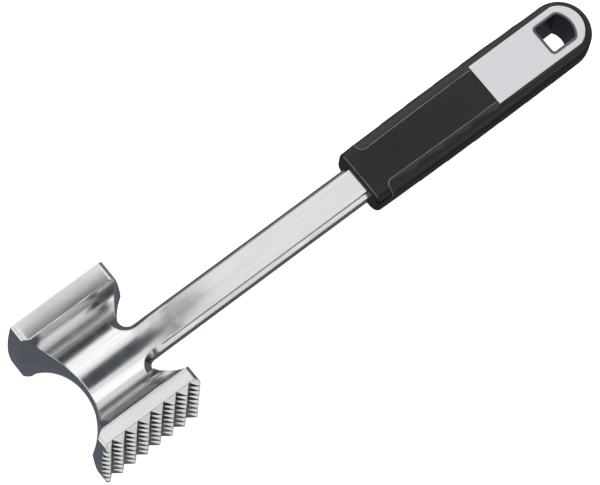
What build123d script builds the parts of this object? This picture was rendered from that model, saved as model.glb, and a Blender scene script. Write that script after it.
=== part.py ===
"""Meat mallet: a cast aluminium head and shank, and a moulded handle on its tang.

The parts are designed about the mallet's own axis: X runs along the shank from
the head's centre towards the handle, Y points at the flat striking face, and Z
is square to both, with z = 0 on the casting's parting plane.  At the end every
part is moved so that the origin is the centre of the bottom of the whole
mallet's box, as it lies on its back.
"""
import os
from math import asin, cos, sin, sqrt

from build123d import *

# ---------------------------------------------------------------- driving sizes, mm
TOOTH_PITCH = 6.9
TEETH_PER_SIDE = 8
TOOTH_HEIGHT = 3.4
TOOTH_TIP_FLAT = 0.5

FLAT_FACE = 34.0            # axis to the flat striking face
FLAT_RIM = 9.4              # thickness of the flat plate at its rim
TOOTH_ROOT = 32.4           # axis to the valleys between the teeth
TOOTHED_RIM = 6.2           # thickness of the toothed plate at its rim
FLAT_PLATE_HALF = 24.4      # half length of the flat plate along its front edge
FLAT_PLATE_BULGE = 2.4      # how far its ends swell at mid depth
TOOTHED_PLATE_HALF = 25.1
TOOTHED_PLATE_BULGE = 1.7
PLATE_CORNER = 2.8          # rounding of the plates' upright corners

WEB_THICKNESS = 11.8        # the head's waist between the two troughs
WAIST_FREE_END = 12.1       # from the head's centre to the waist's free end
WAIST_SHANK_END = 13.8      # the same towards the shank
FREE_END_RADIUS = 30.0      # hollow of the head's free end
NOTCH_RADIUS = 28.0         # hollow of the head's end towards the shank
NOTCH_FILLET = 4.2          # where that hollow runs into the shank's sides
WALL_DRAFT = 5.0            # degrees; the casting's walls lean back from the parting plane

SHANK_WIDTH = 17.7
SHANK_THICKNESS = 11.6
SHANK_SIDE_HALF = 2.6       # half height of the shank's upright sides, below its bevels
BEVEL_ANGLE = 35.0          # degrees from upright
BEVEL_REACH = 11.4          # the bevels' height in the notches, where the web is thicker
BEVEL_ZONE_START = 10.0     # the bevels run from here along the notches and the shank
ROOT_START = 18.0           # the trough's hollow fades out of the shank from here
ROOT_END = 40.0             # to here
ROOT_HALF = 14.0

TANG_WIDTH = 12.0
TANG_THICKNESS = 5.0
TANG_END = 240.0
TANG_HOLE = 5.0             # the core's plastic keys through these holes
TANG_HOLES_AT = (172.0, 220.0)
SHANK_IN_HANDLE = 5.0       # how far the shank's full section enters the handle

HANDLE_START = 142.0
HANDLE_TIP = 274.5
HANDLE_WIDEST_HALF = 15.4
HANDLE_WIDEST_AT = 212.0
HANDLE_END_HALF = 15.0      # half width and radius of the round tip
HANDLE_THICKNESS = 17.6
HANDLE_EDGE_ROUND = 5.4
HANDLE_END_ROUND = 2.4

GRIP_INSET = 5.9            # width of the soft grip band, seen from the front
GRIP_START = 150.4          # where the band's two legs end
GRIP_LEG_CORNER = 3.2

INLAY_START = 214.6
INLAY_HALF = 11.1
INLAY_END = 270.6
INLAY_END_CORNER = 4.0
INLAY_THICKNESS = 1.2
INLAY_GAP = 0.25            # the shadow line round the inlay

EYE_START = 248.6           # outside of the eye's liner
EYE_HALF = 8.1
EYE_END = 265.8
EYE_SIDES_END = 262.6       # where the eye's straight sides turn into its arched end
EYE_SQUARE_CORNER = 2.2
EYE_END_CORNER = 3.0
LINER_WALL = 1.15
LINER_LIP = 0.3             # how far the liner stands proud of the inlay
EYE_DRAFT = 6.5             # degrees; the eye narrows towards the back

# ---------------------------------------------------------------- worked-out sizes
HEAD_HALF = TOOTH_PITCH * TEETH_PER_SIDE / 2
FLAT_CREASE = FLAT_FACE - FLAT_RIM
TOOTHED_CREASE = -(TOOTH_ROOT - TOOTHED_RIM)
WAIST_Y = (FLAT_CREASE + TOOTHED_CREASE) / 2
TOOTH_TIP = TOOTH_ROOT + TOOTH_HEIGHT
HEAD_REACH = max(FLAT_PLATE_HALF + FLAT_PLATE_BULGE, TOOTHED_PLATE_HALF + TOOTHED_PLATE_BULGE)
TROUGH_DEPTH = HEAD_HALF - WEB_THICKNESS / 2
TROUGH_HALF_SPAN = (FLAT_CREASE - TOOTHED_CREASE) / 2
TROUGH_RADIUS = (TROUGH_HALF_SPAN**2 + TROUGH_DEPTH**2) / (2 * TROUGH_DEPTH)
FRONT = HANDLE_THICKNESS / 2
TIP_CENTRE = HANDLE_TIP - HANDLE_END_HALF
ROOM = 40.0                 # reach of the cutting tools past the head

TO_LIBRARY_FRAME = Pos((HEAD_REACH - HANDLE_TIP) / 2, (TOOTH_TIP - FLAT_FACE) / 2, HEAD_HALF)


# ---------------------------------------------------------------- head and shank
def trough_height(y):
    """Height of the trough's surface over the parting plane, at a place across it."""
    centre = WEB_THICKNESS / 2 + TROUGH_RADIUS
    return centre - (TROUGH_RADIUS**2 - (y - WAIST_Y) ** 2) ** 0.5


def trough(start, end, side):
    """The trough's curve across the head, from one y to another, on one face."""
    middle = (start + end) / 2
    return ThreePointArc(
        (start, side * trough_height(start)),
        (middle, side * trough_height(middle)),
        (end, side * trough_height(end)),
    )


def spool():
    """The head's cross-section with its two troughs, drawn out along the shank."""
    flat_rim = Polyline(
        (FLAT_CREASE, HEAD_HALF),
        (FLAT_FACE, HEAD_HALF),
        (FLAT_FACE, -HEAD_HALF),
        (FLAT_CREASE, -HEAD_HALF),
    )
    toothed_rim = Polyline(
        (TOOTHED_CREASE, -HEAD_HALF),
        (-TOOTH_TIP, -HEAD_HALF),
        (-TOOTH_TIP, HEAD_HALF),
        (TOOTHED_CREASE, HEAD_HALF),
    )
    front_trough = trough(TOOTHED_CREASE, FLAT_CREASE, 1)
    back_trough = trough(FLAT_CREASE, TOOTHED_CREASE, -1)
    section = make_face(Plane.YZ * (front_trough + flat_rim + back_trough + toothed_rim))
    return extrude(section, HEAD_REACH + 1, both=True)


def plate_outline(half_length, bulge):
    """A striking plate seen square to its face: straight long edges, swelling ends."""
    corners = [(x, z) for x in (-half_length, half_length) for z in (-HEAD_HALF, HEAD_HALF)]
    back_left, front_left, back_right, front_right = corners
    right = ThreePointArc(back_right, (half_length + bulge, 0), front_right)
    left = ThreePointArc(front_left, (-half_length - bulge, 0), back_left)
    outline = make_face(right + Line(front_right, front_left) + left + Line(back_left, back_right))
    return fillet(outline.vertices(), PLATE_CORNER)


def plate_limits():
    """The space that the two plates' outlines leave, on each side of the waist."""
    facing_flat = Plane(origin=(0, WAIST_Y, 0), x_dir=(1, 0, 0), z_dir=(0, 1, 0))
    facing_teeth = Plane(origin=(0, WAIST_Y, 0), x_dir=(1, 0, 0), z_dir=(0, -1, 0))
    flat_plate = facing_flat * plate_outline(FLAT_PLATE_HALF, FLAT_PLATE_BULGE)
    toothed_plate = facing_teeth * plate_outline(TOOTHED_PLATE_HALF, TOOTHED_PLATE_BULGE)
    return extrude(flat_plate, ROOM) + extrude(toothed_plate, ROOM)


def valley_section():
    """The V of one valley between two rows of teeth: sideways, and out from the plate."""
    over = 1.0
    half_mouth = (TOOTH_PITCH - TOOTH_TIP_FLAT) / 2 * (TOOTH_HEIGHT + over) / TOOTH_HEIGHT
    mouth = TOOTH_HEIGHT + over
    return make_face(Polyline((0, 0), (half_mouth, mouth), (-half_mouth, mouth), close=True))


def cut_teeth(form):
    """The toothed plate, cut by two crossing sets of valleys into rows of pyramids."""
    reach = TOOTH_PITCH * TEETH_PER_SIDE
    root = (0, -TOOTH_ROOT, 0)
    across_x = Plane(root, x_dir=(-1, 0, 0), z_dir=(0, 0, 1))
    across_z = Plane(root, x_dir=(0, 0, 1), z_dir=(1, 0, 0))
    upright_valley = extrude(across_x * valley_section(), reach, both=True)
    level_valley = extrude(across_z * valley_section(), reach, both=True)
    for index in range(TEETH_PER_SIDE + 1):
        place = (index - TEETH_PER_SIDE / 2) * TOOTH_PITCH
        form -= Pos(place, 0, 0) * upright_valley
        form -= Pos(0, 0, place) * level_valley
    return form


def shank_root():
    """The stretch where the trough's hollow fades into the shank's flat faces."""
    height = trough_height(ROOT_HALF), trough_height(-ROOT_HALF)
    hollow_end = make_face(
        trough(-ROOT_HALF, ROOT_HALF, 1)
        + Line((ROOT_HALF, height[0]), (ROOT_HALF, -height[0]))
        + trough(ROOT_HALF, -ROOT_HALF, -1)
        + Line((-ROOT_HALF, -height[1]), (-ROOT_HALF, height[1]))
    )
    flat_end = Rectangle(2 * ROOT_HALF, SHANK_THICKNESS)
    return loft([Plane.YZ.offset(ROOT_START) * hollow_end, Plane.YZ.offset(ROOT_END) * flat_end])


def casting_plan():
    """The web and the shank seen from the front, on the casting's parting plane."""
    block = Pos(0, WAIST_Y) * Rectangle(2 * HEAD_REACH + 2, 2 * ROOM)
    free_end = Pos(-WAIST_FREE_END - FREE_END_RADIUS, WAIST_Y) * Circle(FREE_END_RADIUS)
    shank_end = Pos(WAIST_SHANK_END + NOTCH_RADIUS, WAIST_Y) * Circle(NOTCH_RADIUS)
    length = HANDLE_START + SHANK_IN_HANDLE
    shank = Pos(length / 2, 0) * Rectangle(length, SHANK_WIDTH)
    plan = block - free_end - shank_end + shank
    inner_corners = [
        corner
        for corner in plan.vertices()
        if abs(abs(corner.Y) - SHANK_WIDTH / 2) < 0.01 and corner.X < HEAD_REACH
    ]
    return fillet(inner_corners, NOTCH_FILLET)


def leaning_walls(plan, height, angle, start=0.0):
    """A plan drawn out to both sides of the parting plane, leaning in past a straight start."""
    upper = Pos(0, 0, start) * extrude(plan, height, taper=angle)
    walls = upper + mirror(upper, Plane.XY)
    if start:
        walls += extrude(plan, start, both=True)
    return walls


def tang():
    """The shank's thin end inside the handle, with the holes that key it there."""
    length = TANG_END - HANDLE_START
    bar = Pos(HANDLE_START + length / 2, 0, 0) * Box(length, TANG_WIDTH, TANG_THICKNESS)
    for place in TANG_HOLES_AT:
        bar -= Pos(place, 0, 0) * Cylinder(TANG_HOLE / 2, TANG_THICKNESS)
    return bar


def head_and_shank():
    """One casting: two striking plates, the web between them, the shank and the tang."""
    plan = casting_plan()
    root_zone = Pos(ROOT_START + ROOM / 2, 0, 0) * Box(ROOM, 2 * ROOT_HALF, 2 * ROOM)
    straight = HANDLE_START + SHANK_IN_HANDLE - ROOT_END
    form = cut_teeth(spool() & plate_limits()) - root_zone
    form += shank_root()
    form += Pos(ROOT_END + straight / 2, 0, 0) * Box(straight, 2 * ROOT_HALF, SHANK_THICKNESS)
    form &= leaning_walls(plan, ROOM, WALL_DRAFT)
    bevel_zone_start_plane = Plane.YZ.offset(BEVEL_ZONE_START)
    bevel_zone = extrude(
        bevel_zone_start_plane * Rectangle(2 * ROOT_HALF, 2 * (SHANK_SIDE_HALF + BEVEL_REACH)),
        HANDLE_START,
    )
    form -= bevel_zone - leaning_walls(plan, BEVEL_REACH, BEVEL_ANGLE, SHANK_SIDE_HALF)
    return form + tang()


# ---------------------------------------------------------------- handle
def handle_plan():
    """The handle seen from the front: gently swelling sides that run into a round tip."""
    to_tip = TIP_CENTRE - HANDLE_WIDEST_AT
    swell = HANDLE_WIDEST_HALF - HANDLE_END_HALF
    side_radius = (to_tip**2 / swell + HANDLE_WIDEST_HALF + HANDLE_END_HALF) / 2
    slope = asin(to_tip / (side_radius - HANDLE_END_HALF))
    meeting = Vector(TIP_CENTRE + HANDLE_END_HALF * sin(slope), HANDLE_END_HALF * cos(slope))
    from_widest = HANDLE_WIDEST_AT - HANDLE_START
    start_half = HANDLE_WIDEST_HALF - side_radius + sqrt(side_radius**2 - from_widest**2)
    start = Vector(HANDLE_START, start_half)
    widest = Vector(HANDLE_WIDEST_AT, HANDLE_WIDEST_HALF)
    upper_side = ThreePointArc(start, widest, meeting)
    lower_side = mirror(upper_side, Plane.XZ)
    tip = ThreePointArc(meeting, (HANDLE_TIP, 0), (meeting.X, -meeting.Y))
    front = Line((start.X, -start.Y), start)
    return make_face(upper_side + tip + lower_side + front)


def handle_form():
    """The handle's outer shape, with rounded long edges and a softened front end."""
    form = extrude(handle_plan(), FRONT, both=True)
    long_edges = [
        edge
        for edge in form.edges()
        if abs(abs(edge.center().Z) - FRONT) < 0.01 and edge.center().X > HANDLE_START + 1
    ]
    form = fillet(long_edges, HANDLE_EDGE_ROUND)
    front_face = form.faces().sort_by(Axis.X)[0]
    return fillet(front_face.edges(), HANDLE_END_ROUND)


def grip_plan():
    """The soft band seen from the front: two legs along the sides, joined round the tip."""
    band = handle_plan() - offset(handle_plan(), -GRIP_INSET)
    length = HANDLE_TIP - GRIP_START + 1
    band &= Pos(GRIP_START + length / 2, 0) * Rectangle(length, 2 * ROOM)
    inner_corners = [
        corner
        for corner in band.vertices()
        if abs(corner.X - GRIP_START) < 0.01 and abs(corner.Y) < HANDLE_END_HALF - GRIP_INSET / 2
    ]
    return fillet(inner_corners, GRIP_LEG_CORNER)


def arched_outline(start, half_width, end, end_corner, square_corner=0.0):
    """A D shape: a square end, straight sides and an arched end, with rounded corners."""
    upper = (EYE_SIDES_END, half_width)
    lower = (EYE_SIDES_END, -half_width)
    square_end = Polyline(upper, (start, half_width), (start, -half_width), lower)
    outline = make_face(square_end + ThreePointArc(lower, (end, 0), upper))
    arch_corners = [corner for corner in outline.vertices() if abs(corner.X - EYE_SIDES_END) < 0.01]
    outline = fillet(arch_corners, end_corner)
    if square_corner:
        square_corners = [corner for corner in outline.vertices() if abs(corner.X - start) < 0.01]
        outline = fillet(square_corners, square_corner)
    return outline


def eye_outline():
    """The hanging eye's outline, outside its liner."""
    return arched_outline(EYE_START, EYE_HALF, EYE_END, EYE_END_CORNER, EYE_SQUARE_CORNER)


def inlay_region(gap=0.0):
    """The inlay's outline without its eye, grown by a gap."""
    return arched_outline(INLAY_START - gap, INLAY_HALF + gap, INLAY_END + gap, INLAY_END_CORNER)


def inlay_slab(gap=0.0):
    """The depth of the handle's front that the inlay, or its pocket, takes up."""
    return Pos(0, 0, FRONT - INLAY_THICKNESS) * extrude(inlay_region(gap), 2 * INLAY_THICKNESS)


def eye_bore():
    """The liner's whole outside, from the handle's back to past its front."""
    return extrude(eye_outline(), 2 * FRONT, both=True)


def eyelet_liner():
    """The rim of the hanging eye: straight outside, narrowing inside towards the back."""
    thickness = HANDLE_THICKNESS + LINER_LIP
    body = Pos(0, 0, -FRONT) * extrude(eye_outline(), thickness)
    mouth = Plane((0, 0, FRONT + LINER_LIP), x_dir=(1, 0, 0), z_dir=(0, 0, -1))
    opening = mouth * offset(eye_outline(), -LINER_WALL)
    return body - extrude(opening, thickness, taper=EYE_DRAFT)


def soft_grip_band(form):
    """The rubbery band along both sides and round the tip."""
    return (form & extrude(grip_plan(), FRONT + 1, both=True)) - inlay_slab(INLAY_GAP) - eye_bore()


def handle_core(form, casting):
    """The hard body moulded on the tang: the front and back panels and the collar."""
    core = form - extrude(grip_plan(), FRONT + 1, both=True)
    return core - inlay_slab(INLAY_GAP) - eye_bore() - casting


def inlay_plate(form):
    """The metallic plate let into the front, with its ring round the eye."""
    return (form & inlay_slab()) - eye_bore()


# ---------------------------------------------------------------- the whole mallet
def build():
    """Every part by name, in the library frame."""
    casting = head_and_shank()
    form = handle_form()
    parts = {
        "head_and_shank": casting,
        "handle_core": handle_core(form, casting),
        "soft_grip_band": soft_grip_band(form),
        "inlay_plate": inlay_plate(form),
        "eyelet_liner": eyelet_liner(),
    }
    return {name: TO_LIBRARY_FRAME * part for name, part in parts.items()}


if __name__ == "__main__":
    os.makedirs("parts", exist_ok=True)
    for name, part in build().items():
        part.label = name
        export_step(part, f"parts/{name}.step")
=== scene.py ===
"""The looks of the meat mallet: its finishes, its fine trim, and a plain pale studio.

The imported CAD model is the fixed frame.  Everything here is in metres in that frame: +X runs
along the shank to the handle's tip, +Y points at the flat striking face, and the mallet lies
on its back, with its lowest point at z = 0.
"""
from math import cos, pi, radians, sin, tan

import bmesh
import bpy
from mathutils import Matrix, Vector


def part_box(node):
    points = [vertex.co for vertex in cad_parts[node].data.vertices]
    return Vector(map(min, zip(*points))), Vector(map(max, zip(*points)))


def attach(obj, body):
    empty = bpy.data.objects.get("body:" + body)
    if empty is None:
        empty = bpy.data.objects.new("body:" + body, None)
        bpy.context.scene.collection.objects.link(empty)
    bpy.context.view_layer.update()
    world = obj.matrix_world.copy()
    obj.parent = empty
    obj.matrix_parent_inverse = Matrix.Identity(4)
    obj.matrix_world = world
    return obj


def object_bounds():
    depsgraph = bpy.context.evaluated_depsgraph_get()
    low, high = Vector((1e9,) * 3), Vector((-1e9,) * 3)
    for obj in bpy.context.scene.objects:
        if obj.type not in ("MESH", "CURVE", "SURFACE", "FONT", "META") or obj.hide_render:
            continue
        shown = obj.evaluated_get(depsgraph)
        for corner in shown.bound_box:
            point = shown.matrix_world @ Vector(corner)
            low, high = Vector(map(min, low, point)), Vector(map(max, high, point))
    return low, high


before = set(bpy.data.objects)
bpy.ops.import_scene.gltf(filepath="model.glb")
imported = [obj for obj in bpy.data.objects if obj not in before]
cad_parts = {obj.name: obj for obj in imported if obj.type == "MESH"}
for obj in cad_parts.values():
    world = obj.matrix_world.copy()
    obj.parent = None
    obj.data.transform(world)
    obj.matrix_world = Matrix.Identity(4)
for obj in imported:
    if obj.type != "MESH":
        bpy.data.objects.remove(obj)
cad_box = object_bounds()

MM = 0.001
UP = Vector((0, 0, 1))
WHITE = (1, 1, 1)

# ---------------------------------------------------------------- where things are
LOW, HIGH = cad_box
MIDDLE = (LOW + HIGH) / 2
HEAD_LOW, HEAD_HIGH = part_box("head_and_shank")
GRIP_LOW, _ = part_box("soft_grip_band")
INLAY_LOW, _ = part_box("inlay_plate")
HANDLE_LOW, HANDLE_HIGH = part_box("handle_core")
LINER_LOW, LINER_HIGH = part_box("eyelet_liner")
AXIS_Y = (HANDLE_LOW.y + HANDLE_HIGH.y) / 2
PARTING_Z = (HANDLE_LOW.z + HANDLE_HIGH.z) / 2
HEAD_X = HEAD_LOW.x + (HEAD_HIGH.z - HEAD_LOW.z) / 2    # the striking plates are square

# ---------------------------------------------------------------- camera
LENS = 207.64                       # mm, as the sensor
SENSOR = 36.0
CAMERA_AZIMUTH = radians(42.308)    # the way it looks, turned from +X
CAMERA_TILT = radians(70.964)       # down from level
CAMERA_ROLL = radians(-9.551)
CAMERA_DISTANCE = 1.5308
CLIP_START = 0.05
AIM_ALONG = -19.01 * MM             # the aim point, from the middle of the mallet's box
AIM_ACROSS = -4.78 * MM


def add_camera():
    """A long lens over the mallet, turned so that the shank climbs to the upper right."""
    forward = Vector((
        cos(CAMERA_TILT) * cos(CAMERA_AZIMUTH),
        cos(CAMERA_TILT) * sin(CAMERA_AZIMUTH),
        -sin(CAMERA_TILT),
    ))
    upright = (UP - forward * UP.dot(forward)).normalized()
    up = cos(CAMERA_ROLL) * upright + sin(CAMERA_ROLL) * forward.cross(upright)
    right = forward.cross(up)
    aim = MIDDLE + Vector((AIM_ALONG, AIM_ACROSS, 0))
    data = bpy.data.cameras.new("studio_camera")
    data.lens = LENS
    data.sensor_width = SENSOR
    data.sensor_fit = "HORIZONTAL"
    data.clip_start = CLIP_START
    camera = bpy.data.objects.new("studio_camera", data)
    turn = Matrix((right, up, -forward)).transposed().to_4x4()
    camera.matrix_world = Matrix.Translation(aim - forward * CAMERA_DISTANCE) @ turn
    bpy.context.scene.collection.objects.link(camera)
    bpy.context.scene.camera = camera


# ---------------------------------------------------------------- material helpers
NOISE_LOW = 0.3                     # noise lies mostly between these two
NOISE_HIGH = 0.7
PLASTIC_NOISE_LOW = 0.35            # nearer together, so that the plastics' colour is patchier
PLASTIC_NOISE_HIGH = 0.65
BEVEL_SAMPLES = 6


class Finish:
    """A material under construction, with short names for the nodes that it uses."""

    def __init__(self, name, colour, roughness, metallic=0.0, specular=0.5):
        self.material = bpy.data.materials.new(name)
        self.material.use_nodes = True
        self.nodes = self.material.node_tree.nodes
        self.links = self.material.node_tree.links
        self.shader = self.nodes["Principled BSDF"]
        self.shader.inputs["Base Color"].default_value = (*colour, 1)
        self.shader.inputs["Roughness"].default_value = roughness
        self.shader.inputs["Metallic"].default_value = metallic
        self.shader.inputs["Specular IOR Level"].default_value = specular
        self.place = self.nodes.new("ShaderNodeTexCoord").outputs["Object"]
        self.normal = None

    def noise(self, scale, detail, stretch=(1, 1, 1)):
        """Procedural noise in the mallet's own space; a stretch under 1 draws it out along that axis."""
        mapping = self.nodes.new("ShaderNodeMapping")
        mapping.inputs["Scale"].default_value = stretch
        texture = self.nodes.new("ShaderNodeTexNoise")
        texture.inputs["Scale"].default_value = scale
        texture.inputs["Detail"].default_value = detail
        self.links.new(self.place, mapping.inputs["Vector"])
        self.links.new(mapping.outputs["Vector"], texture.inputs["Vector"])
        return texture.outputs["Fac"]

    def vary_roughness(self, value, smooth, rough):
        """The roughness follows the noise, from smooth to rough."""
        spread = self.nodes.new("ShaderNodeMapRange")
        spread.inputs["From Min"].default_value = NOISE_LOW
        spread.inputs["From Max"].default_value = NOISE_HIGH
        spread.inputs["To Min"].default_value = smooth
        spread.inputs["To Max"].default_value = rough
        self.links.new(value, spread.inputs["Value"])
        self.links.new(spread.outputs["Result"], self.shader.inputs["Roughness"])

    def vary_colour(self, value, darker, lighter, low=NOISE_LOW, high=NOISE_HIGH):
        """The base colour follows the noise, from darker at low to lighter at high."""
        ramp = self.nodes.new("ShaderNodeValToRGB")
        first, last = ramp.color_ramp.elements
        first.position = low
        first.color = (*darker, 1)
        last.position = high
        last.color = (*lighter, 1)
        self.links.new(value, ramp.inputs["Fac"])
        self.links.new(ramp.outputs["Color"], self.shader.inputs["Base Color"])

    def soften_edges(self, radius):
        """Sharp edges catch the light as if slightly rounded."""
        bevel = self.nodes.new("ShaderNodeBevel")
        bevel.samples = BEVEL_SAMPLES
        bevel.inputs["Radius"].default_value = radius
        self._add_normal(bevel)

    def bump(self, height, depth, strength):
        """Relief of that depth in metres; calls add up."""
        bump = self.nodes.new("ShaderNodeBump")
        bump.inputs["Strength"].default_value = strength
        bump.inputs["Distance"].default_value = depth
        self.links.new(height, bump.inputs["Height"])
        self._add_normal(bump)

    def _add_normal(self, node):
        if self.normal is not None:
            self.links.new(self.normal, node.inputs["Normal"])
        self.normal = node.outputs["Normal"]
        self.links.new(self.normal, self.shader.inputs["Normal"])


# ---------------------------------------------------------------- the finishes
def cast_metal():
    """Satin aluminium: fine streaks along the shank over a slightly uneven casting."""
    finish = Finish("satin_aluminium", colour=(0.72, 0.73, 0.75), roughness=0.22, metallic=1.0)
    streaks = finish.noise(scale=700, detail=4, stretch=(0.04, 1, 1))
    fine = finish.noise(scale=3000, detail=3, stretch=(0.03, 1, 1))
    clouds = finish.noise(scale=60, detail=3)
    finish.vary_colour(streaks, darker=(0.685, 0.69, 0.69), lighter=(0.765, 0.77, 0.77))
    finish.vary_roughness(clouds, smooth=0.13, rough=0.20)
    finish.soften_edges(radius=0.95 * MM)
    finish.bump(streaks, depth=0.004 * MM, strength=0.5)
    finish.bump(fine, depth=0.002 * MM, strength=0.5)
    return finish.material


def hard_plastic():
    """The core's charcoal plastic, with a fine moulded grain."""
    finish = Finish("charcoal_plastic", colour=(0.0055, 0.0062, 0.0075), roughness=0.36, specular=0.28)
    grain = finish.noise(scale=2400, detail=4)
    wear = finish.noise(scale=90, detail=4, stretch=(0.5, 1, 1))
    finish.vary_colour(
        wear,
        darker=(0.0045, 0.0053, 0.0066),
        lighter=(0.0073, 0.0083, 0.0100),
        low=PLASTIC_NOISE_LOW,
        high=PLASTIC_NOISE_HIGH,
    )
    finish.vary_roughness(wear, smooth=0.30, rough=0.42)
    finish.soften_edges(radius=0.25 * MM)
    finish.bump(grain, depth=0.02 * MM, strength=0.35)
    return finish.material


def soft_grip():
    """The band's black rubbery plastic: duller, with a softer grain."""
    finish = Finish("soft_black_grip", colour=(0.006, 0.0063, 0.0070), roughness=0.42)
    grain = finish.noise(scale=3200, detail=3)
    handling = finish.noise(scale=70, detail=5, stretch=(0.4, 1, 1))
    finish.vary_colour(
        handling,
        darker=(0.005, 0.0052, 0.0056),
        lighter=(0.008, 0.0082, 0.0088),
        low=PLASTIC_NOISE_LOW,
        high=PLASTIC_NOISE_HIGH,
    )
    finish.vary_roughness(handling, smooth=0.40, rough=0.50)
    finish.soften_edges(radius=0.25 * MM)
    finish.bump(grain, depth=0.025 * MM, strength=0.4)
    return finish.material


def inlay():
    """Fine matte silver-grey lacquer with a faint sparkle."""
    finish = Finish("silver_grey_inlay", colour=(0.58, 0.59, 0.60), roughness=0.5, specular=0.3)
    speckle = finish.noise(scale=5200, detail=2)
    cloud = finish.noise(scale=110, detail=3)
    finish.vary_colour(speckle, darker=(0.48, 0.488, 0.495), lighter=(0.58, 0.588, 0.595))
    finish.vary_roughness(cloud, smooth=0.44, rough=0.56)
    finish.soften_edges(radius=0.2 * MM)
    finish.bump(speckle, depth=0.008 * MM, strength=0.5)
    return finish.material


def liner():
    """The eye's glossy black rim, with fine handling marks."""
    finish = Finish("glossy_black_liner", colour=(0.008, 0.009, 0.015), roughness=0.24, specular=0.8)
    marks = finish.noise(scale=700, detail=5, stretch=(0.3, 1, 1))
    finish.vary_roughness(marks, smooth=0.18, rough=0.32)
    finish.soften_edges(radius=0.3 * MM)
    finish.bump(marks, depth=0.01 * MM, strength=0.4)
    return finish.material


def highlight_bead_plastic():
    """The thin raised beads on the handle, a little lighter than both of its plastics: the lightness is a
    painted highlight along the seams, the collar's edge and the eye's lip.
    """
    finish = Finish("painted_highlight_bead_plastic", colour=(0.10, 0.101, 0.104), roughness=0.36)
    wear = finish.noise(scale=260, detail=4)
    # painted highlight: these greys, lighter than the plastics around them, stand in for the light caught
    # along the edges
    finish.vary_colour(wear, darker=(0.07, 0.071, 0.074), lighter=(0.14, 0.142, 0.146))
    finish.vary_roughness(wear, smooth=0.3, rough=0.45)
    finish.bump(wear, depth=0.02 * MM, strength=0.3)
    return finish.material


def painted_shade_ridge_metal():
    """The ridge beside each of the shank's bevels: the same metal, but darker and duller. The darkness is
    painted shade along the crease.
    """
    finish = Finish("painted_shade_aluminium_ridge", colour=(0.30, 0.30, 0.31), roughness=0.32, metallic=1.0)
    marks = finish.noise(scale=900, detail=4, stretch=(0.1, 1, 1))
    # painted shade: a darker metal that stands in for the dark line where the shank's flat meets a bevel
    finish.vary_colour(marks, darker=(0.24, 0.24, 0.25), lighter=(0.36, 0.36, 0.37))
    finish.vary_roughness(marks, smooth=0.26, rough=0.38)
    finish.bump(marks, depth=0.01 * MM, strength=0.4)
    return finish.material


def rim_highlight_metal():
    """The bright edge along the inside of the striking plates' rims: a metal lighter than the casting's,
    as a painted highlight.
    """
    finish = Finish("painted_highlight_aluminium", colour=(0.88, 0.88, 0.88), roughness=0.2, metallic=1.0)
    marks = finish.noise(scale=800, detail=4, stretch=(0.2, 1, 1))
    # painted highlight: lighter than the cast metal, standing in for the light line along the rim's crease
    finish.vary_colour(marks, darker=(0.82, 0.82, 0.83), lighter=(0.94, 0.94, 0.95))
    finish.vary_roughness(marks, smooth=0.16, rough=0.28)
    finish.bump(marks, depth=0.01 * MM, strength=0.3)
    return finish.material


def dress(node, material):
    """Puts a finish in a CAD node's material slots."""
    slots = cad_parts[node].data.materials
    for index in range(len(slots)):
        slots[index] = material
    if not slots:
        slots.append(material)


# ---------------------------------------------------------------- trim
HAIR = 0.02 * MM                    # a hair's breadth, to stay just on one side of an edge
OUTSIDE = 30 * MM                   # how far out a ray starts, clear of the handle
HALVINGS = 20                       # enough to find an edge to well under a hair
BEAD_SIDES = 8
BEAD_SINK = 0.08 * MM               # how deep a bead's centre lies under the surface

SEAM_BEAD_RADIUS = 0.26 * MM        # the collar's bead has it too
SEAM_STEPS = 90
SEAM_CROWDING = 1.6                 # over 1, the seam's points crowd towards the collar
SEAM_INLAY_GAP = 0.4 * MM           # from the seam's bead to the inlay's start
SEAM_END_STEPS = 10

LIP_BEAD_RADIUS = 0.28 * MM
LIP_BEAD_SET_IN = 0.45 * MM         # from the lip's outer edge to the bead's centre
LIP_STEPS = 96

COLLAR_EDGE_SET_BACK = 1.3 * MM     # from the handle's start
COLLAR_EDGE_MARGIN = 2.6 * MM       # from the handle's sides to the bead's ends
COLLAR_STEPS = 24

RIDGE_START = 26 * MM               # from the head's centre
RIDGE_RADIUS = 0.4 * MM
RIDGE_SINK = 0.26 * MM              # how deep its centre lies under the surface
RIDGE_STEPS = 30
SHANK_REACH = 10 * MM               # from the shank's axis to a place past its side

RIM_MIDDLE = 4.8 * MM               # from the flat face or the tooth tips to the middle of the rim
RIM_REACH = 12 * MM                 # from there to a place past the rim's inner edge
RIM_EDGE_RADIUS = 0.38 * MM
RIM_EDGE_HALF = 22.2 * MM


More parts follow.
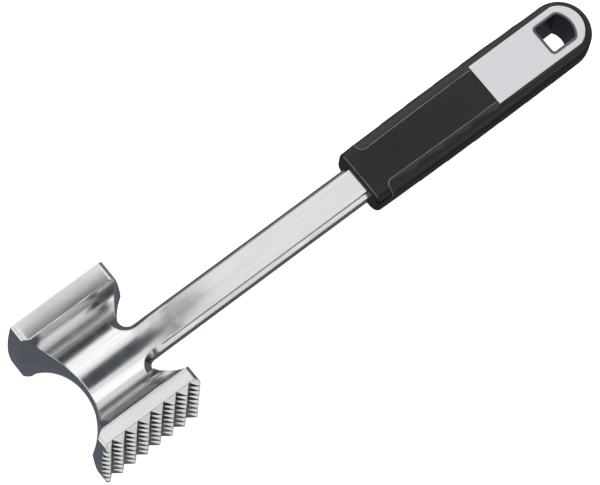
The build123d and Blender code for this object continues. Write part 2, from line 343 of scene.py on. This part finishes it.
def bead(name, path, radius, material, closed=False):
    """A thin round bead laid along a line of points, as one closed mesh."""
    angles = [2 * pi * side / BEAD_SIDES for side in range(BEAD_SIDES)]
    last = len(path) - 1
    mesh = bmesh.new()
    rings = []
    for index, point in enumerate(path):
        before = path[index - 1] if closed or index else point
        after = path[(index + 1) % len(path)] if closed or index < last else point
        along = (after - before).normalized()
        out = along.cross(UP).normalized()
        up = out.cross(along)
        places = [point + radius * (cos(angle) * out + sin(angle) * up) for angle in angles]
        rings.append([mesh.verts.new(place) for place in places])
    following_rings = rings[1:] + rings[:1] if closed else rings[1:]
    for ring, following in zip(rings, following_rings):
        for side in range(BEAD_SIDES):
            beside = (side + 1) % BEAD_SIDES
            mesh.faces.new((ring[side], ring[beside], following[beside], following[side]))
    if not closed:
        mesh.faces.new(rings[0])
        mesh.faces.new(list(reversed(rings[-1])))
    bmesh.ops.recalc_face_normals(mesh, faces=mesh.faces)
    data = bpy.data.meshes.new(name)
    mesh.to_mesh(data)
    mesh.free()
    for face in data.polygons:
        face.use_smooth = True
    piece = bpy.data.objects.new(name, data)
    bpy.context.scene.collection.objects.link(piece)
    data.materials.append(material)
    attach(piece, "root")


def surface_height(node, x, y):
    """How high the node's front surface is at a place, or None where the node doesn't reach."""
    above = Vector((x, y, HIGH.z + MM))
    hit, point, _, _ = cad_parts[node].ray_cast(above, -UP)
    return point.z if hit else None


def height_on(front, z):
    """A height on the front, or its mirror image on the back."""
    return z if front else 2 * PARTING_Z - z


def seam_path(side):
    """Where the soft band meets the core's front: along the band, then out round its leg's end."""
    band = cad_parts["soft_grip_band"]
    outward = Vector((0, side, 0))
    length = INLAY_LOW.x - SEAM_INLAY_GAP - GRIP_LOW.x
    path = []
    for step in range(SEAM_STEPS, -1, -1):
        x = GRIP_LOW.x + HAIR + length * (step / SEAM_STEPS) ** SEAM_CROWDING
        _, point, _, _ = band.ray_cast(Vector((x, AXIS_Y, PARTING_Z)), outward)
        z = surface_height("soft_grip_band", x, point.y + side * HAIR)
        path.append(Vector((x, point.y, z)))
    corner = path[-1]
    _, edge, _, _ = band.ray_cast(Vector((corner.x, AXIS_Y + side * OUTSIDE, PARTING_Z)), -outward)
    for step in range(1, SEAM_END_STEPS + 1):
        y = corner.y + (edge.y - side * HAIR - corner.y) * step / SEAM_END_STEPS
        path.append(Vector((corner.x, y, surface_height("soft_grip_band", corner.x, y))))
    return [point - BEAD_SINK * UP for point in path]


def lip_path():
    """Just inside the outer edge of the eye liner's proud lip, right round."""
    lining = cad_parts["eyelet_liner"]
    centre = (LINER_LOW + LINER_HIGH) / 2
    height = LINER_HIGH.z - BEAD_SINK
    path = []
    for step in range(LIP_STEPS):
        angle = 2 * pi * step / LIP_STEPS
        outward = Vector((cos(angle), sin(angle), 0))
        start = Vector((centre.x, centre.y, height)) + outward * OUTSIDE
        _, point, _, _ = lining.ray_cast(start, -outward)
        path.append(point - outward * LIP_BEAD_SET_IN)
    return path


def collar_path():
    """The rounded front edge of the handle, from side to side over its front."""
    x = HANDLE_LOW.x + COLLAR_EDGE_SET_BACK
    half = (HANDLE_HIGH.y - HANDLE_LOW.y) / 2 - COLLAR_EDGE_MARGIN
    across = [AXIS_Y + half * (2 * step / COLLAR_STEPS - 1) for step in range(COLLAR_STEPS + 1)]
    return [Vector((x, y, surface_height("handle_core", x, y) - BEAD_SINK)) for y in across]


def face_edge(x, side, inside=AXIS_Y, reach=SHANK_REACH):
    """The point at that x where a flat of the casting's front ends, found by halving the gap."""
    top = surface_height("head_and_shank", x, inside)
    outside = inside + side * reach
    for _ in range(HALVINGS):
        middle = (inside + outside) / 2
        height = surface_height("head_and_shank", x, middle)
        on_the_flat = height is not None and height > top - HAIR
        inside, outside = (middle, outside) if on_the_flat else (inside, middle)
    return Vector((x, inside, top))


def ridge_path(side, front):
    """The ridge between the shank's flat and one of its bevels, on the front or the back."""
    end = face_edge(HANDLE_LOW.x - HAIR, side)
    start_x = HEAD_X + RIDGE_START
    path = []
    for step in range(RIDGE_STEPS + 1):
        x = start_x + (end.x - start_x) * step / RIDGE_STEPS
        z = surface_height("head_and_shank", x, end.y) - RIDGE_SINK
        path.append(Vector((x, end.y, height_on(front, z))))
    return path


def rim_edge_path(side, front):
    """The inner edge of a striking plate's rim, where the trough begins."""
    rim_middle = (HEAD_HIGH.y if side > 0 else HEAD_LOW.y) - side * RIM_MIDDLE
    edge = face_edge(HEAD_X, -side, rim_middle, RIM_REACH)
    z = height_on(front, HEAD_HIGH.z - RIM_EDGE_RADIUS - HAIR)
    return [Vector((x, edge.y, z)) for x in (HEAD_X - RIM_EDGE_HALF, HEAD_X + RIM_EDGE_HALF)]


def add_trim():
    """The fine lines: the seams, the shank's ridges, the rims' edges, the collar's edge, the eye's lip.
    They are coloured as painted highlights, with painted shade on the shank's ridges.
    """
    # painted highlight: the seam, collar and lip beads are lighter than the plastics around them
    highlight_plastic = highlight_bead_plastic()
    for name, side in (("upper_seam_bead", 1), ("lower_seam_bead", -1)):
        bead(name, seam_path(side), SEAM_BEAD_RADIUS, highlight_plastic)
    # painted shade: the ridges' darker metal stands in for the dark crease lines
    ridge = painted_shade_ridge_metal()
    # painted highlight: the rims' edges are a lighter metal than the casting
    rim_highlight = rim_highlight_metal()
    for face, front in (("front", True), ("back", False)):
        for name, side in (("upper", 1), ("lower", -1)):
            bead(f"{name}_{face}_ridge", ridge_path(side, front), RIDGE_RADIUS, ridge)
            edge = rim_edge_path(side, front)
            bead(f"{name}_{face}_rim_highlight", edge, RIM_EDGE_RADIUS, rim_highlight)
    bead("collar_edge_bead", collar_path(), SEAM_BEAD_RADIUS, highlight_plastic)
    bead("eye_lip_bead", lip_path(), LIP_BEAD_RADIUS, highlight_plastic, closed=True)


# ---------------------------------------------------------------- the studio
WORLD_COLOUR = (0.95, 0.97, 1.0)
WORLD_STRENGTH = 0.55
LAMPS = [                           # name, place from the mallet's middle, size, and power in watts
    ("key_light", (0.1, 0.75, 0.75), (1.2, 0.5), 7),
    ("fill_light", (0.2, -0.5, 1.0), (1.2, 0.35), 5),
]

FLOOR_HALF = 3.0
FLOOR_GAP = 0.05 * MM               # between the mallet and the floor
FLOOR_GREY = (0.6, 0.6, 0.6)
FLOOR_ROUGHNESS = 0.9
FLOOR_SPECULAR = 0.1
FLOOR_GLOW = 0.85                   # so that it stays pale in shadow

VAULT_RADIUS = 1.3
VAULT_STEPS = 8                     # flat faces in each strip
VAULT_STRIPS = [                    # start and end in degrees from overhead towards +Y, and brightness
    (-90, -70, 1.0),
    (-70, -58, 0.25),
    (-58, -40, 0.03),
    (-40, -9, 1.3),
    (-9, 38, 1.0),
    (38, 74, 1.35),
    (74, 90, 0.4),
]

DARK = (0.055, 0.062, 0.075)
DIM = (0.10, 0.112, 0.135)
NEARLY_BLACK = (0.015, 0.016, 0.018)
START_CARD_BRIGHTNESS = 0.9
END_CARD_HALF_HEIGHT = 0.5
FLOOR_CARD_HALF = (0.3, 0.2)        # along and across the mallet
FLOOR_CARD_RISE = 0.1 * MM
TEETH_CARD_HALF = (0.3, 0.098)
TEETH_CARD_OUT = 0.1                # from the tooth tips out to its middle
TEETH_CARD_RISE = 0.2 * MM          # just over the floor's card
WAIST_CARD_HEIGHT = 0.105           # over the parting plane
WAIST_CARD_LEAN = 1 / tan(CAMERA_TILT) * Vector((cos(CAMERA_AZIMUTH), sin(CAMERA_AZIMUTH), 0))
WAIST_CARD_OUTLINE = [              # mm along and across, from where the head's centre mirrors it
    (-40, -24), (14, -24), (24, -6), (56, 0), (24, 6), (14, 24), (-40, 24),
]


def glow(name, colour, strength=1.0):
    """A plain lamp-like surface."""
    material = bpy.data.materials.new(name)
    material.use_nodes = True
    nodes = material.node_tree.nodes
    nodes.clear()
    shader = nodes.new("ShaderNodeEmission")
    shader.inputs["Color"].default_value = (*colour, 1)
    shader.inputs["Strength"].default_value = strength
    output = nodes.new("ShaderNodeOutputMaterial")
    material.node_tree.links.new(shader.outputs["Emission"], output.inputs["Surface"])
    return material


def reflected(name, corners, faces, material):
    """A studio card that shows only in reflections: it isn't seen itself and casts no shadow."""
    data = bpy.data.meshes.new(name)
    data.from_pydata(corners, [], faces)
    data.materials.append(material)
    card = bpy.data.objects.new(name, data)
    bpy.context.scene.collection.objects.link(card)
    card.visible_camera = False
    card.visible_diffuse = False
    card.visible_shadow = False


def flat_card(name, centre, across, along, material):
    """A flat card, from its centre and the two half edges."""
    near = centre - along
    far = centre + along
    corners = [near - across, near + across, far + across, far - across]
    reflected(name, corners, [(0, 1, 2, 3)], material)


def level_card(name, centre, half, material):
    """A flat card that lies level."""
    flat_card(name, centre, Vector((half[0], 0, 0)), Vector((0, half[1], 0)), material)


def end_card(name, x, material):
    """A card that stands across the vault at that x."""
    centre = Vector((x, 0, END_CARD_HALF_HEIGHT))
    flat_card(name, centre, Vector((0, VAULT_RADIUS, 0)), END_CARD_HALF_HEIGHT * UP, material)


def vault_strip(name, start, end, material):
    """A long strip of the studio's vault, between two angles from overhead towards +Y."""
    corners = []
    for step in range(VAULT_STEPS + 1):
        angle = radians(start + (end - start) * step / VAULT_STEPS)
        y = MIDDLE.y + VAULT_RADIUS * sin(angle)
        z = VAULT_RADIUS * cos(angle)
        corners += [(-VAULT_RADIUS, y, z), (VAULT_RADIUS, y, z)]
    faces = [(2 * step, 2 * step + 1, 2 * step + 3, 2 * step + 2) for step in range(VAULT_STEPS)]
    reflected(name, corners, faces, material)


def lamp(name, place, size, power):
    """A soft box that faces the mallet from a place given from its middle."""
    data = bpy.data.lights.new(name, "AREA")
    data.shape = "RECTANGLE"
    data.size, data.size_y = size
    data.energy = power
    light = bpy.data.objects.new(name, data)
    turn = (-Vector(place)).to_track_quat("-Z", "Y").to_matrix().to_4x4()
    light.matrix_world = Matrix.Translation(MIDDLE + Vector(place)) @ turn
    bpy.context.scene.collection.objects.link(light)
    light.visible_camera = False
    light.visible_glossy = False


def add_floor():
    """A large plain white floor just under the mallet."""
    z = LOW.z - FLOOR_GAP
    corners = [(FLOOR_HALF * x, FLOOR_HALF * y, z) for x, y in ((-1, -1), (1, -1), (1, 1), (-1, 1))]
    data = bpy.data.meshes.new("floor")
    data.from_pydata(corners, [], [(0, 1, 2, 3)])
    finish = Finish("white_floor", FLOOR_GREY, FLOOR_ROUGHNESS, specular=FLOOR_SPECULAR)
    finish.shader.inputs["Emission Color"].default_value = (*WHITE, 1)
    finish.shader.inputs["Emission Strength"].default_value = FLOOR_GLOW
    data.materials.append(finish.material)
    floor = bpy.data.objects.new("floor", data)
    bpy.context.scene.collection.objects.link(floor)


def add_world():
    """A soft, slightly cool light from all round, shown without a film look."""
    scene = bpy.context.scene
    scene.view_settings.view_transform = "Standard"
    world = scene.world or bpy.data.worlds.new("studio")
    scene.world = world
    world.use_nodes = True
    background = world.node_tree.nodes["Background"]
    background.inputs["Color"].default_value = (*WORLD_COLOUR, 1)
    background.inputs["Strength"].default_value = WORLD_STRENGTH


def add_cards():
    """The vault's strips, and the dark and bright cards that give the metal something to mirror."""
    for index, (start, end, brightness) in enumerate(VAULT_STRIPS):
        vault_strip(f"vault_{index}", start, end, glow(f"vault_glow_{index}", WHITE, brightness))

    dark = glow("dark_card", DARK)
    waist = Vector((HEAD_X, AXIS_Y, PARTING_Z)) + WAIST_CARD_HEIGHT * (UP + WAIST_CARD_LEAN)
    outline = [waist + Vector((x * MM, y * MM, 0)) for x, y in WAIST_CARD_OUTLINE]
    reflected("waist_card", outline, [tuple(range(len(outline)))], dark)

    on_floor = Vector((0, 0, LOW.z + FLOOR_CARD_RISE))
    level_card("floor_card", on_floor, FLOOR_CARD_HALF, glow("floor_card_glow", DIM))
    by_teeth = Vector((0, LOW.y - TEETH_CARD_OUT, LOW.z + TEETH_CARD_RISE))
    level_card("teeth_card", by_teeth, TEETH_CARD_HALF, glow("deep_card_glow", NEARLY_BLACK))
    end_card("end_card", VAULT_RADIUS, dark)
    end_card("start_card", -VAULT_RADIUS, glow("bright_card", WHITE, START_CARD_BRIGHTNESS))


def add_studio():
    """Soft light from all round, with cards for the metal to mirror."""
    add_world()
    add_floor()
    for name, place, size, power in LAMPS:
        lamp(name, place, size, power)
    add_cards()


# ---------------------------------------------------------------- all together
dress("head_and_shank", cast_metal())
dress("handle_core", hard_plastic())
dress("soft_grip_band", soft_grip())
dress("inlay_plate", inlay())
dress("eyelet_liner", liner())
add_trim()
add_camera()
add_studio()
